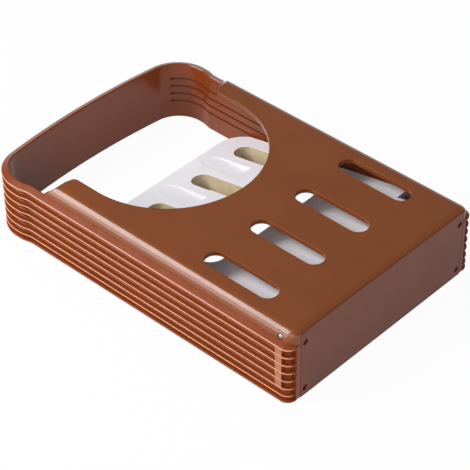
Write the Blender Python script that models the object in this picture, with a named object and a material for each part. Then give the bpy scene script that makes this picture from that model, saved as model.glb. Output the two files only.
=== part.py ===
# Bread slicer guide, folded flat with its back panel on top.
# Metres, +Z up. The handle end of the frame is at -X and the foot plate at +X.
# The origin is at the middle of the underside.

import math

import bmesh
import bpy
from mathutils import Matrix, Vector


# Whole object
LENGTH = 0.214
WIDTH = 0.140
HEIGHT = 0.042
GAP = 0.0003
OVERRUN = 0.002

# Guide frame
RIM_DROP = 0.0060
FRAME_DEPTH = 0.0042
POCKET_DEPTH = 0.0025
FIN_COUNT = 7
FIN_THICKNESS = 0.0011
FIN_DROP = 0.0020
LEDGE_DROP = 0.0018
LAST_FIN_HEIGHT = 0.0045
LAST_PITCH_SHARE = 0.9
BOTTOM_RIM = 0.0010
FIN_TAPER_SHARE = 0.35
BULGE = 0.0014
BULGE_START = 0.0270
BULGE_END = 0.0350
BOW = 0.0030
HANDLE_RADIUS = 0.0210
FOOT_RADIUS = 0.0054
BORDER_WIDTH = 0.0028
POST_WIDTH = 0.0046
POST_SINK = 0.0002
POST_FROM_FOOT = 0.0051
END_POST_DEPTH = 0.0033
SHOULDER_SHARES = ((0.71, 0.80), (0.26, 0.45))

# Knife slits, one in each of the second to the fifth pocket
SLIT_COUNT = 4
SLIT_THICKNESS = 0.0014
SLIT_START = 0.0098
SLIT_FROM_FOOT = 0.0118

# Back panel
PANEL_START = 0.0507
PANEL_INSET = 0.0030
PANEL_THICKNESS = 0.0026
PANEL_EDGE_RADIUS = 0.0060
PANEL_INSIDE_RADIUS = 0.0015
PANEL_DROOP_LENGTH = 0.0041
PANEL_DROOP_RADIUS = 0.0078
DEEP_FLANGE_LENGTH = 0.0134
CUTOUT_MARGIN = 0.0180
CUTOUT_CENTRE_SHARE = 0.3178
TIP_RADIUS = 0.0030
SLOT_COUNT = 4
SLOT_MARGIN = 0.0199
SLOT_WIDTH = 0.0114
SLOT_START_SHARE = 0.6654
SLOT_FROM_FOOT = 0.0260
EAR_MARGIN = 0.0140
EAR_LENGTH = 0.0079
BOSS_LENGTH = 0.0038
BOSS_DROP = 0.0028

# Foot plate and its screws
PLATE_THICKNESS = 0.0030
PLATE_LIP = 0.0006
SCREW_MARGIN = 0.0115
SCREW_LOW = 0.0046
SCREW_DROP = 0.0080
SCREW_RADIUS = 0.0008
SCREW_HEAD_RADIUS = 0.0014
SCREW_HEAD_DEPTH = 0.0010
SCREW_SINK = 0.0004
SCREW_LENGTH = 0.0058
SCREW_SLOT_WIDTH = 0.0004
SCREW_SLOT_DEPTH = 0.0003

# Hinge
AXIS_FROM_FOOT = 0.0088
AXIS_DROP = 0.0045
PIN_RADIUS = 0.00125
PIN_CLEARANCE = 0.0001
PIN_SINK = 0.0004
PIN_RING = 0.0004
PIN_RING_DEPTH = 0.0010
PIN_IN_BOARD = 0.0080
BARREL_RADIUS = 0.0027

# Bread board, measured from the hinge axis along the board
BOARD_SHORTER = 0.0620
BOARD_SIDE_GAP = 0.0018
BOARD_TOP = 0.0012
BOARD_SKIN = 0.0026
BOARD_WALL = 0.0020
BOARD_CORNER = 0.0145
NOTCH_LENGTH = 0.0295
NOTCH_SIDE_GAP = 0.0005
SKIRT_START = 0.0395
BOARD_SLOT_LENGTH = 0.0455
BOARD_SLOT_FROM_TIP = 0.0135
COLLAR = 0.0015
SCOOP_LENGTH = 0.0295
SCOOP_FROM_TIP = 0.0045
SCOOP_DEPTH = 0.0021
SCOOP_FLOOR = 0.0014
HAND_HOLE_WIDTH = 0.0195
HAND_HOLE_FROM_TIP = 0.0635
HAND_HOLE_MARGIN = 0.0300
HAND_HOLE_RADIUS = 0.0070

# Facets
CORNER_STEPS = 8
FOOT_STEPS = 5
CURVE_STEPS = 5
BOW_STEPS = 6
HALF_ROUND_STEPS = 10
CUTOUT_STEPS = 36
EDGE_STEPS = 6
PIN_STEPS = 20
SCREW_STEPS = 14
MERGE = 0.00002

# Places worked out from the sizes above
START_X = -LENGTH / 2
FOOT_X = LENGTH / 2
HALF = WIDTH / 2
INNER_HALF = HALF - FRAME_DEPTH
RIM_HEIGHT = HEIGHT - RIM_DROP
TOP_FIN_HEIGHT = RIM_HEIGHT - FIN_DROP
LEDGE_HEIGHT = RIM_HEIGHT - LEDGE_DROP
FIN_PITCH = (TOP_FIN_HEIGHT - LAST_FIN_HEIGHT) / (FIN_COUNT - 2 + LAST_PITCH_SHARE)
SLIT_END = LENGTH - SLIT_FROM_FOOT
CUTOUT_RADIUS = HALF - CUTOUT_MARGIN
CUTOUT_CENTRE = LENGTH * CUTOUT_CENTRE_SHARE
SLOT_PITCH = (HALF - SLOT_MARGIN) * 2 / (SLOT_COUNT - 1)
SLOT_START = LENGTH * SLOT_START_SHARE
SLOT_END = LENGTH - SLOT_FROM_FOOT
EAR_INNER = HALF - EAR_MARGIN
SCREW_ACROSS = HALF - SCREW_MARGIN
SCREW_HIGH = HEIGHT - SCREW_DROP
AXIS_HEIGHT = HEIGHT - AXIS_DROP
BOARD_LENGTH = LENGTH - BOARD_SHORTER
BOARD_SLOT_FAR = BOARD_LENGTH - BOARD_SLOT_FROM_TIP
BOARD_SLOT_NEAR = BOARD_SLOT_FAR - BOARD_SLOT_LENGTH
SCOOP_FAR = BOARD_LENGTH - SCOOP_FROM_TIP
SCOOP_NEAR = SCOOP_FAR - SCOOP_LENGTH
HAND_HOLE_FAR = BOARD_LENGTH - HAND_HOLE_FROM_TIP
HAND_HOLE_NEAR = HAND_HOLE_FAR - HAND_HOLE_WIDTH
HAND_HOLE_LENGTH = WIDTH - HAND_HOLE_MARGIN * 2
PANEL_HALF = HALF - PANEL_INSET
PANEL_UNDER = HEIGHT - PANEL_THICKNESS
PLATE_INNER_X = FOOT_X - PLATE_THICKNESS
BORDER_OUTER = HALF - FOOT_RADIUS
PLATE_HALF = BORDER_OUTER - BORDER_WIDTH - GAP
PLATE_TOP = PANEL_UNDER - GAP
PANEL_CORNER = PANEL_HALF - BORDER_OUTER
PANEL_END_X = FOOT_X - PLATE_LIP - GAP
DROOP_ANGLE = math.asin(PANEL_DROOP_LENGTH / PANEL_DROOP_RADIUS)
LIP_TOP = HEIGHT - PANEL_DROOP_RADIUS * (1 - math.cos(DROOP_ANGLE))
END_POST_X = PLATE_INNER_X - GAP - END_POST_DEPTH
DEEP_FLANGE_X = FOOT_X - DEEP_FLANGE_LENGTH
FLANGE_UNDER = LEDGE_HEIGHT + GAP
FLANGE_ROOT = PANEL_HALF - PANEL_THICKNESS + GAP * 2
BOSS_UNDER = FLANGE_UNDER - BOSS_DROP
SCREW_TIP_X = FOOT_X - SCREW_SINK - SCREW_LENGTH
AXIS_X = FOOT_X - AXIS_FROM_FOOT
BOARD_UNDER = BOARD_TOP - BOARD_SKIN
SKIRT_UNDER = -AXIS_FROM_FOOT
BOARD_HALF = INNER_HALF - BOARD_SIDE_GAP
NOTCH_HALF = EAR_INNER - NOTCH_SIDE_GAP
BOARD_REACH = math.hypot(BOARD_LENGTH, SKIRT_UNDER)
REST_TILT = math.asin(AXIS_HEIGHT / BOARD_REACH) - math.atan2(-SKIRT_UNDER, BOARD_LENGTH)


def fin_tops():
    """Heights of the fins' upper faces, from the top one down."""
    tops = [TOP_FIN_HEIGHT - FIN_PITCH * i for i in range(FIN_COUNT - 1)]
    return tops + [LAST_FIN_HEIGHT]


def slit_heights():
    """Each slit runs midway between two neighbouring fins."""
    tops = fin_tops()
    return [(tops[i] - FIN_THICKNESS + tops[i + 1]) / 2 for i in range(1, SLIT_COUNT + 1)]


def slot_rows():
    """Places across the object of the rows of long slots."""
    return [SLOT_PITCH * (i - (SLOT_COUNT - 1) / 2) for i in range(SLOT_COUNT)]


def arc(centre, radius, start, end, steps):
    """Points on an arc, angles in degrees, both ends included."""
    points = []
    for i in range(steps + 1):
        angle = math.radians(start + (end - start) * i / steps)
        points.append((centre[0] + radius * math.cos(angle), centre[1] + radius * math.sin(angle)))
    return points


def obround(centre, length, width):
    """Outline of a slot with round ends."""
    radius = width / 2
    reach = length / 2 - radius
    left = arc((-reach, 0), radius, 90, 270, HALF_ROUND_STEPS)
    right = arc((reach, 0), radius, -90, 90, HALF_ROUND_STEPS)
    return [(centre[0] + x, centre[1] + y) for x, y in left + right]


def rounded_box(x0, x1, y0, y1, radius, steps):
    """Outline of a rectangle with four round corners."""
    points = arc((x1 - radius, y1 - radius), radius, 0, 90, steps)
    points += arc((x0 + radius, y1 - radius), radius, 90, 180, steps)
    points += arc((x0 + radius, y0 + radius), radius, 180, 270, steps)
    points += arc((x1 - radius, y0 + radius), radius, 270, 360, steps)
    return points


def clear_scene():
    for item in list(bpy.data.objects):
        bpy.data.objects.remove(item, do_unlink=True)


def make_collection(name):
    group = bpy.data.collections.new(name)
    bpy.context.scene.collection.children.link(group)
    return group


def make_material(name, colour, roughness, metallic=0.0):
    material = bpy.data.materials.new(name)
    material.use_nodes = True
    shader = material.node_tree.nodes["Principled BSDF"]
    shader.inputs["Base Color"].default_value = (*colour, 1)
    shader.inputs["Roughness"].default_value = roughness
    shader.inputs["Metallic"].default_value = metallic
    material.diffuse_color = (*colour, 1)
    return material


def new_object(name, mesh, group):
    item = bpy.data.objects.new(name, mesh)
    group.objects.link(item)
    return item


def box(name, x, y, z, group):
    """A plain box between two places along each axis, given in any order."""
    mesh = bpy.data.meshes.new(name)
    shape = bmesh.new()
    bmesh.ops.create_cube(shape, size=1)
    size = [abs(b - a) for a, b in (x, y, z)]
    centre = [(a + b) / 2 for a, b in (x, y, z)]
    bmesh.ops.transform(shape, matrix=Matrix.Diagonal((*size, 1)), verts=shape.verts)
    bmesh.ops.translate(shape, vec=centre, verts=shape.verts)
    shape.to_mesh(mesh)
    shape.free()
    return new_object(name, mesh, group)


def rod(name, axis, start, end, radius, steps, group):
    """A cylinder along X, Y or Z between two points that share its axis."""
    mesh = bpy.data.meshes.new(name)
    shape = bmesh.new()
    length = (Vector(end) - Vector(start)).length
    bmesh.ops.create_cone(shape, cap_ends=True, segments=steps, radius1=radius, radius2=radius,
                          depth=length)
    turn = {"X": Matrix.Rotation(math.pi / 2, 4, "Y"), "Y": Matrix.Rotation(math.pi / 2, 4, "X"),
            "Z": Matrix.Identity(4)}[axis]
    bmesh.ops.transform(shape, matrix=turn, verts=shape.verts)
    bmesh.ops.translate(shape, vec=(Vector(start) + Vector(end)) / 2, verts=shape.verts)
    shape.to_mesh(mesh)
    shape.free()
    return new_object(name, mesh, group)


def curve_to_mesh(curve_object, name, group):
    """Turn a curve into a welded mesh object in the same place."""
    bpy.context.view_layer.update()
    graph = bpy.context.evaluated_depsgraph_get()
    mesh = bpy.data.meshes.new_from_object(curve_object.evaluated_get(graph))
    shape = bmesh.new()
    shape.from_mesh(mesh)
    bmesh.ops.remove_doubles(shape, verts=shape.verts, dist=MERGE)
    bmesh.ops.recalc_face_normals(shape, faces=shape.faces)
    shape.to_mesh(mesh)
    shape.free()
    place = curve_object.matrix_world.copy()
    bpy.data.objects.remove(curve_object, do_unlink=True)
    mesh.name = name
    item = new_object(name, mesh, group)
    item.matrix_world = place
    return item


def gather(name, items, group):
    """Put several separate shapes into one object."""
    shape = bmesh.new()
    for item in items:
        item.data.transform(item.matrix_world)
        shape.from_mesh(item.data)
        bpy.data.objects.remove(item, do_unlink=True)
    mesh = bpy.data.meshes.new(name)
    shape.to_mesh(mesh)
    shape.free()
    return new_object(name, mesh, group)


def pair(name, make, group):
    """The same shape at the near side and at the far side, in one object."""
    return gather(name, [make(side) for side in (-1, 1)], group)


def plate(name, outlines, z0, z1, group):
    """A flat outline, with holes if more than one is given, between two heights."""
    curve = bpy.data.curves.new(name, "CURVE")
    curve.dimensions = "2D"
    curve.fill_mode = "BOTH"
    curve.extrude = (z1 - z0) / 2
    for points in outlines:
        spline = curve.splines.new("POLY")
        spline.points.add(len(points) - 1)
        for point, place in zip(spline.points, points):
            point.co = (place[0], place[1], 0, 1)
        spline.use_cyclic_u = True
    item = bpy.data.objects.new(name, curve)
    item.location.z = (z0 + z1) / 2
    bpy.context.scene.collection.objects.link(item)
    return curve_to_mesh(item, name, group)


def sweep(name, section, path, group):
    """A closed section, (across, up), carried along a level open path."""
    profile = bpy.data.curves.new(name + "_section", "CURVE")
    profile.dimensions = "2D"
    spline = profile.splines.new("POLY")
    spline.points.add(len(section) - 1)
    for point, place in zip(spline.points, section):
        point.co = (place[0], place[1], 0, 1)
    spline.use_cyclic_u = True
    profile_object = bpy.data.objects.new(name + "_section", profile)
    bpy.context.scene.collection.objects.link(profile_object)
    curve = bpy.data.curves.new(name, "CURVE")
    curve.dimensions = "3D"
    curve.twist_mode = "Z_UP"
    curve.bevel_mode = "OBJECT"
    curve.bevel_object = profile_object
    curve.use_fill_caps = True
    spline = curve.splines.new("POLY")
    spline.points.add(len(path) - 1)
    for point, place in zip(spline.points, path):
        point.co = (place[0], place[1], 0, 1)
    item = bpy.data.objects.new(name, curve)
    bpy.context.scene.collection.objects.link(item)
    result = curve_to_mesh(item, name, group)
    bpy.data.objects.remove(profile_object, do_unlink=True)
    return result


def combine(target, tool, operation):
    """Join a tool to a target, or cut it away, with a Boolean modifier."""
    modifier = target.modifiers.new(operation.lower() + "_" + tool.name, "BOOLEAN")
    modifier.operation = operation
    modifier.solver = "EXACT"
    modifier.object = tool
    tool.hide_render = True
    tool.display_type = "WIRE"


def cut(target, tool):
    combine(target, tool, "DIFFERENCE")


def join(target, tool):
    combine(target, tool, "UNION")


def finish(item, material, angle=35):
    """Give a piece its material and smooth its round faces."""
    item.data.materials.clear()
    item.data.materials.append(material)
    item.data.shade_smooth()
    item.data.set_sharp_from_angle(angle=math.radians(angle))


def frame_path():
    """The frame's outer line in plan, from the near foot corner round to the far one."""
    side = HALF + BULGE
    near = arc((FOOT_X - FOOT_RADIUS, -HALF + FOOT_RADIUS), FOOT_RADIUS, 0, -90, FOOT_STEPS)
    near = [(FOOT_X - GAP, -BORDER_OUTER + BORDER_WIDTH / 2)] + near
    start = START_X + BULGE_END
    reach = BULGE_END - BULGE_START
    for i in range(CURVE_STEPS + 1):
        share = i / CURVE_STEPS
        ease = (1 - math.cos(math.pi * share)) / 2
        near.append((start - reach * share, -HALF - BULGE * ease))
    corner = (START_X + BOW + HANDLE_RADIUS, -side + HANDLE_RADIUS)
    near += arc(corner, HANDLE_RADIUS, -90, -175, CORNER_STEPS)
    bow_half = near[-1][1]
    first_x = near[-1][0]
    for i in range(1, BOW_STEPS // 2 + 1):
        y = bow_half * (1 - 2 * i / BOW_STEPS)
        near.append((START_X + (first_x - START_X) * (y / bow_half) ** 2, y))
    far = [(x, -y) for x, y in reversed(near[:-1])]
    return near + far


def frame_section():
    """The wall's section, (depth in from the outer line, height), fins on the outer side."""
    taper = FIN_THICKNESS * FIN_TAPER_SHARE
    rise = RIM_HEIGHT - TOP_FIN_HEIGHT
    points = [(FRAME_DEPTH, 0), (FRAME_DEPTH, RIM_HEIGHT)]
    points += [(FRAME_DEPTH * a, TOP_FIN_HEIGHT + rise * b) for a, b in SHOULDER_SHARES]
    points += [(0, TOP_FIN_HEIGHT)]
    for top in fin_tops():
        if top != TOP_FIN_HEIGHT:
            points += [(POCKET_DEPTH, top + taper), (0, top)]
        points += [(0, top - FIN_THICKNESS), (POCKET_DEPTH, top - FIN_THICKNESS - taper)]
    points += [(POCKET_DEPTH, BOTTOM_RIM + taper), (0, BOTTOM_RIM), (0, 0)]
    return points


def make_frame(group, tools, material):
    """The U-shaped guide: two finned arms joined by the handle end."""
    frame = sweep("guide_frame", frame_section(), frame_path(), group)
    tops = fin_tops()
    post_end = FOOT_X - POST_FROM_FOOT
    posts = pair("posts", lambda side: box(
        "post", (post_end - POST_WIDTH, post_end),
        (side * (HALF - POCKET_DEPTH - GAP), side * (HALF - POST_SINK)),
        (tops[-2] - FIN_THICKNESS / 2, TOP_FIN_HEIGHT - FIN_THICKNESS / 2), tools), tools)
    join(frame, posts)
    corners = pair("corners", lambda side: box(
        "corner", (END_POST_X, PLATE_INNER_X - GAP), (side * EAR_INNER, side * (INNER_HALF + GAP)),
        (GAP, BOSS_UNDER - GAP), tools), tools)
    join(frame, corners)
    borders = pair("borders", lambda side: box(
        "border", (END_POST_X + GAP, FOOT_X), (side * (PLATE_HALF + GAP), side * BORDER_OUTER),
        (GAP * 2, RIM_HEIGHT), tools), tools)
    join(frame, borders)
    pilots = pair("low_pilots", lambda side: rod(
        "pilot", "X", (END_POST_X - OVERRUN, side * SCREW_ACROSS, SCREW_LOW),
        (FOOT_X, side * SCREW_ACROSS, SCREW_LOW), SCREW_RADIUS + GAP, SCREW_STEPS, tools), tools)
    cut(frame, pilots)
    slits = [box("slit", (START_X + SLIT_START, START_X + SLIT_END),
                 (-HALF - BULGE - OVERRUN, HALF + BULGE + OVERRUN),
                 (height - SLIT_THICKNESS / 2, height + SLIT_THICKNESS / 2), tools)
             for height in slit_heights()]
    cut(frame, gather("slits", slits, tools))
    step = box("rim_step", (DEEP_FLANGE_X - GAP, FOOT_X + OVERRUN), (-HALF - OVERRUN, HALF + OVERRUN),
               (LEDGE_HEIGHT, HEIGHT), tools)
    cut(frame, step)
    finish(frame, material)
    return frame


def panel_section():
    """The panel's section across the object, (across, height)."""
    wall = PANEL_HALF - PANEL_THICKNESS
    outer = arc((PANEL_HALF - PANEL_EDGE_RADIUS, HEIGHT - PANEL_EDGE_RADIUS), PANEL_EDGE_RADIUS,
                0, 90, EDGE_STEPS)
    inner = arc((wall - PANEL_INSIDE_RADIUS, PANEL_UNDER - PANEL_INSIDE_RADIUS), PANEL_INSIDE_RADIUS,
                90, 0, EDGE_STEPS)
    right = [(PANEL_HALF, FLANGE_UNDER)] + outer
    under = inner + [(wall, FLANGE_UNDER)]
    points = right + [(-x, z) for x, z in reversed(right)]
    points += [(-x, z) for x, z in reversed(under)] + under
    return points


def panel_blank(group):
    """The arched panel before its corners, cut-out and slots are cut."""
    x0 = START_X + PANEL_START
    length = FOOT_X - x0
    curve = bpy.data.curves.new("back_panel", "CURVE")
    curve.dimensions = "2D"
    curve.fill_mode = "BOTH"
    curve.extrude = length / 2
    points = panel_section()
    spline = curve.splines.new("POLY")
    spline.points.add(len(points) - 1)
    for point, place in zip(spline.points, points):
        point.co = (place[0], place[1], 0, 1)
    spline.use_cyclic_u = True
    item = bpy.data.objects.new("back_panel", curve)
    bpy.context.scene.collection.objects.link(item)
    stand = Matrix(((0, 0, 1, 0), (1, 0, 0, 0), (0, 1, 0, 0), (0, 0, 0, 1)))
    item.matrix_world = Matrix.Translation((x0 + length / 2, 0, 0)) @ stand
    panel = curve_to_mesh(item, "back_panel", group)
    panel.data.transform(panel.matrix_world)
    panel.matrix_world = Matrix.Identity(4)
    return panel


def cutout_outline():
    """The hand cut-out: a half circle that opens to the handle end between round tips."""
    centre_x = START_X + CUTOUT_CENTRE
    edge_x = START_X + PANEL_START
    mouth_x = edge_x - OVERRUN
    points = arc((centre_x, 0), CUTOUT_RADIUS, -90, 90, CUTOUT_STEPS)
    tip = (edge_x + TIP_RADIUS, CUTOUT_RADIUS + TIP_RADIUS)
    far = arc(tip, TIP_RADIUS, 270, 180, EDGE_STEPS) + [(mouth_x, tip[1])]
    return points + far + [(x, -y) for x, y in reversed(far)]


def panel_side_outline():
    """The panel seen from the side, with its top curving down a little at the foot end."""
    x0 = START_X + PANEL_START - OVERRUN
    centre = (FOOT_X - PANEL_DROOP_LENGTH, HEIGHT - PANEL_DROOP_RADIUS)
    droop = arc(centre, PANEL_DROOP_RADIUS, 90 - math.degrees(DROOP_ANGLE), 90, EDGE_STEPS)
    return [(FOOT_X, BOSS_UNDER)] + droop + [(x0, HEIGHT), (x0, BOSS_UNDER)]


def panel_masks(tools):
    """The panel's outline from above and from the side, which its blank is trimmed to."""
    x0 = START_X + PANEL_START - PANEL_CORNER * 2
    plan = rounded_box(x0, FOOT_X, -PANEL_HALF, PANEL_HALF, PANEL_CORNER, EDGE_STEPS)
    above = plate("panel_plan", [plan], FLANGE_UNDER - OVERRUN, HEIGHT + OVERRUN, tools)
    beside = plate("panel_side", [panel_side_outline()], -WIDTH, WIDTH, tools)
    beside.data.transform(Matrix.Rotation(math.pi / 2, 4, "X") @ beside.matrix_world)
    beside.matrix_world = Matrix.Identity(4)
    return above, beside


def pin_face():
    """How far out the panel's rounded side lies at the height of the hinge axis."""
    lift = AXIS_HEIGHT - (HEIGHT - PANEL_EDGE_RADIUS)
    return PANEL_HALF - PANEL_EDGE_RADIUS + math.sqrt(PANEL_EDGE_RADIUS ** 2 - lift ** 2)


def make_panel(group, tools, material):
    """The back panel: an arched cover with a hand cut-out and four long slots."""
    panel = panel_blank(group)
    ear_end = PLATE_INNER_X - GAP
    top = PANEL_UNDER + PANEL_THICKNESS / 4
    join(panel, pair("ears", lambda side: box(
        "ear", (ear_end - EAR_LENGTH, ear_end), (side * EAR_INNER, side * FLANGE_ROOT),
        (FLANGE_UNDER, top), tools), tools))
    join(panel, pair("cheeks", lambda side: box(
        "cheek", (ear_end - GAP, FOOT_X), (side * (PLATE_HALF + GAP), side * FLANGE_ROOT),
        (FLANGE_UNDER, top), tools), tools))
    for mask in panel_masks(tools):
        combine(panel, mask, "INTERSECT")
    join(panel, pair("bosses", lambda side: box(
        "boss", (ear_end - BOSS_LENGTH, ear_end), (side * EAR_INNER, side * PLATE_HALF),
        (BOSS_UNDER, FLANGE_UNDER + GAP), tools), tools))
    cut(panel, box("flange_trim", (START_X, DEEP_FLANGE_X), (-HALF, HALF),
                   (FLANGE_UNDER - OVERRUN, RIM_HEIGHT + GAP), tools))
    cut(panel, box("plate_recess", (ear_end, FOOT_X + OVERRUN), (-PLATE_HALF - GAP, PLATE_HALF + GAP),
                   (FLANGE_UNDER - OVERRUN, PANEL_UNDER), tools))
    cut(panel, box("lip_recess", (PANEL_END_X, FOOT_X + OVERRUN), (-PLATE_HALF - GAP, PLATE_HALF + GAP),
                   (PANEL_UNDER - GAP, HEIGHT + OVERRUN), tools))
    cut(panel, plate("cutout", [cutout_outline()], FLANGE_UNDER, HEIGHT + OVERRUN, tools))
    centre_x = START_X + (SLOT_START + SLOT_END) / 2
    slots = [plate("slot", [obround((centre_x, y), SLOT_END - SLOT_START, SLOT_WIDTH)],
                   FLANGE_UNDER, HEIGHT + OVERRUN, tools) for y in slot_rows()]
    cut(panel, gather("panel_slots", slots, tools))
    cut(panel, rod("hinge_groove", "Y", (AXIS_X, -EAR_INNER + GAP, AXIS_HEIGHT),
                   (AXIS_X, EAR_INNER - GAP, AXIS_HEIGHT), BARREL_RADIUS + GAP * 2, PIN_STEPS, tools))
    cut(panel, pair("pin_bores", lambda side: rod(
        "bore", "Y", (AXIS_X, side * (EAR_INNER - OVERRUN), AXIS_HEIGHT),
        (AXIS_X, side * (PANEL_HALF + OVERRUN), AXIS_HEIGHT), PIN_RADIUS + PIN_CLEARANCE,
        PIN_STEPS, tools), tools))
    cut(panel, pair("pin_rings", lambda side: rod(
        "ring", "Y", (AXIS_X, side * (pin_face() - PIN_RING_DEPTH), AXIS_HEIGHT),
        (AXIS_X, side * (PANEL_HALF + OVERRUN), AXIS_HEIGHT), PIN_RADIUS + PIN_RING,
        PIN_STEPS, tools), tools))
    cut(panel, pair("high_pilots", lambda side: rod(
        "pilot", "X", (SCREW_TIP_X - GAP, side * SCREW_ACROSS, SCREW_HIGH),
        (FOOT_X, side * SCREW_ACROSS, SCREW_HIGH), SCREW_RADIUS + GAP, SCREW_STEPS, tools), tools))
    finish(panel, material)
    return panel


def screw_places():
    return [(side * SCREW_ACROSS, z) for z in (SCREW_LOW, SCREW_HIGH) for side in (-1, 1)]


def make_plate(group, tools, material):
    """The foot plate that closes the end and that the guide stands on in use."""
    foot = box("foot_plate", (PLATE_INNER_X, FOOT_X), (-PLATE_HALF, PLATE_HALF), (0, LIP_TOP), group)
    cut(foot, box("plate_rebate", (PLATE_INNER_X - OVERRUN, FOOT_X - PLATE_LIP),
                  (-HALF, HALF), (PLATE_TOP, HEIGHT), tools))
    seat_x = FOOT_X - SCREW_SINK - SCREW_HEAD_DEPTH - GAP
    holes = [rod("hole", "X", (PLATE_INNER_X - OVERRUN, y, z), (FOOT_X + OVERRUN, y, z),
                 SCREW_RADIUS + GAP, SCREW_STEPS, tools) for y, z in screw_places()]
    seats = [rod("seat", "X", (seat_x, y, z), (FOOT_X + OVERRUN, y, z),
                 SCREW_HEAD_RADIUS + GAP, SCREW_STEPS, tools) for y, z in screw_places()]
    cut(foot, gather("plate_holes", holes, tools))
    cut(foot, gather("plate_seats", seats, tools))
    finish(foot, material)
    return foot


def make_screws(group, tools, material):
    """Four small screws hold the foot plate, two in the frame and two in the panel."""
    reach = (-SCREW_RADIUS, SCREW_RADIUS)
    half = (-SCREW_SLOT_WIDTH / 2, SCREW_SLOT_WIDTH / 2)
    depth = (-SCREW_SLOT_DEPTH, OVERRUN)
    for i, (y, z) in enumerate(screw_places()):
        name = "foot_screw_%d" % (i + 1)
        screw = rod(name, "Z", (0, 0, -SCREW_LENGTH), (0, 0, -SCREW_HEAD_DEPTH / 2),
                    SCREW_RADIUS, SCREW_STEPS, group)
        head = rod(name + "_head", "Z", (0, 0, -SCREW_HEAD_DEPTH), (0, 0, 0),
                   SCREW_HEAD_RADIUS, SCREW_STEPS, tools)
        bars = [box(name + "_recess_a", reach, half, depth, tools),
                box(name + "_recess_b", half, reach, depth, tools)]
        stand = Matrix.Translation((FOOT_X - SCREW_SINK, y, z)) @ Matrix.Rotation(math.pi / 2, 4, "Y")
        for item in (screw, head, *bars):
            item.matrix_world = stand @ item.matrix_world
        join(screw, head)
        for bar in bars:
            cut(screw, bar)
        finish(screw, material)


def make_pins(group, material):
    """A steel pin at each side carries the board; its outer end shows in the panel's side."""
    for side, name in ((-1, "near_hinge_pin"), (1, "far_hinge_pin")):
        pin = rod(name, "Y", (AXIS_X, side * (pin_face() - PIN_SINK), AXIS_HEIGHT),
                  (AXIS_X, side * (NOTCH_HALF - PIN_IN_BOARD), AXIS_HEIGHT), PIN_RADIUS, PIN_STEPS, group)
        finish(pin, material)


def board_outline(inset, near):
    """The board's plan from the hinge side out, drawn in by an inset, in the board's own place."""
    half = BOARD_HALF - inset
    far = -(BOARD_LENGTH - inset)
    radius = BOARD_CORNER - inset
    points = arc((far + radius, half - radius), radius, 90, 180, CORNER_STEPS)
    points += arc((far + radius, -half + radius), radius, 180, 270, CORNER_STEPS)
    return points + [(-near, -half), (-near, half)]


def board_plan():
    """The whole skin in plan: full width, then narrow beside the hinge."""
    points = board_outline(0, NOTCH_LENGTH)
    middle = [(-NOTCH_LENGTH, -NOTCH_HALF), (0, -NOTCH_HALF), (0, NOTCH_HALF), (-NOTCH_LENGTH, NOTCH_HALF)]
    return points[:-1] + middle + points[-1:]


def scoop_outline(y):
    """A bullet-shaped hollow between two slots, blunt on the hinge side."""
    half = SLOT_WIDTH / 2
    nose = SLOT_WIDTH
    points = []
    for i in range(HALF_ROUND_STEPS + 1):
        angle = math.radians(90 + 180 * i / HALF_ROUND_STEPS)
        points.append((-(SCOOP_FAR - nose) + nose * math.cos(angle), y + half * math.sin(angle)))
    return points + [(-SCOOP_NEAR, y - half), (-SCOOP_NEAR, y + half)]


def board_joins(tools):
    """What is added under the skin: rim, hinge barrel, slot walls and scoop floors."""
    inside = BOARD_TOP - BOARD_SKIN / 2
    outer = board_outline(0, SKIRT_START)
    inner = board_outline(BOARD_WALL, SKIRT_START + BOARD_WALL)
    skirt = plate("skirt", [outer, inner], SKIRT_UNDER, inside, tools)
    barrel = rod("barrel", "Y", (0, -NOTCH_HALF, 0), (0, NOTCH_HALF, 0), BARREL_RADIUS, PIN_STEPS, tools)
    centre = -(BOARD_SLOT_NEAR + BOARD_SLOT_FAR) / 2
    length = BOARD_SLOT_FAR - BOARD_SLOT_NEAR
    collars = [plate("collar", [obround((centre, y), length + COLLAR * 2, SLOT_WIDTH + COLLAR * 2)],
                     SKIRT_UNDER, inside, tools) for y in slot_rows()]
    pads = [box("pad", (-SCOOP_FAR, -SCOOP_NEAR + COLLAR),
                (y - SLOT_WIDTH / 2 - COLLAR, y + SLOT_WIDTH / 2 + COLLAR),
                (BOARD_TOP - SCOOP_DEPTH - SCOOP_FLOOR, inside), tools) for y in scoop_rows()]
    return [skirt, barrel, gather("collars", collars, tools), gather("pads", pads, tools)]


def scoop_rows():
    """The scoops lie midway between the slots."""
    rows = slot_rows()
    return [(rows[i] + rows[i + 1]) / 2 for i in range(SLOT_COUNT - 1)]


def make_scoop(y, tools):
    """One scoop's cutter, tilted about its far tip so that the hollow deepens toward the hinge."""
    scoop = plate("scoop", [scoop_outline(y)], 0, SCOOP_DEPTH * 3, tools)
    slope = math.atan2(SCOOP_DEPTH, SCOOP_FAR - SCOOP_NEAR)
    pivot = Matrix.Translation((-SCOOP_FAR, 0, BOARD_TOP))
    tilt = pivot @ Matrix.Rotation(slope, 4, "Y") @ Matrix.Translation((SCOOP_FAR, 0, 0))
    scoop.matrix_world = tilt @ scoop.matrix_world
    return scoop


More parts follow.
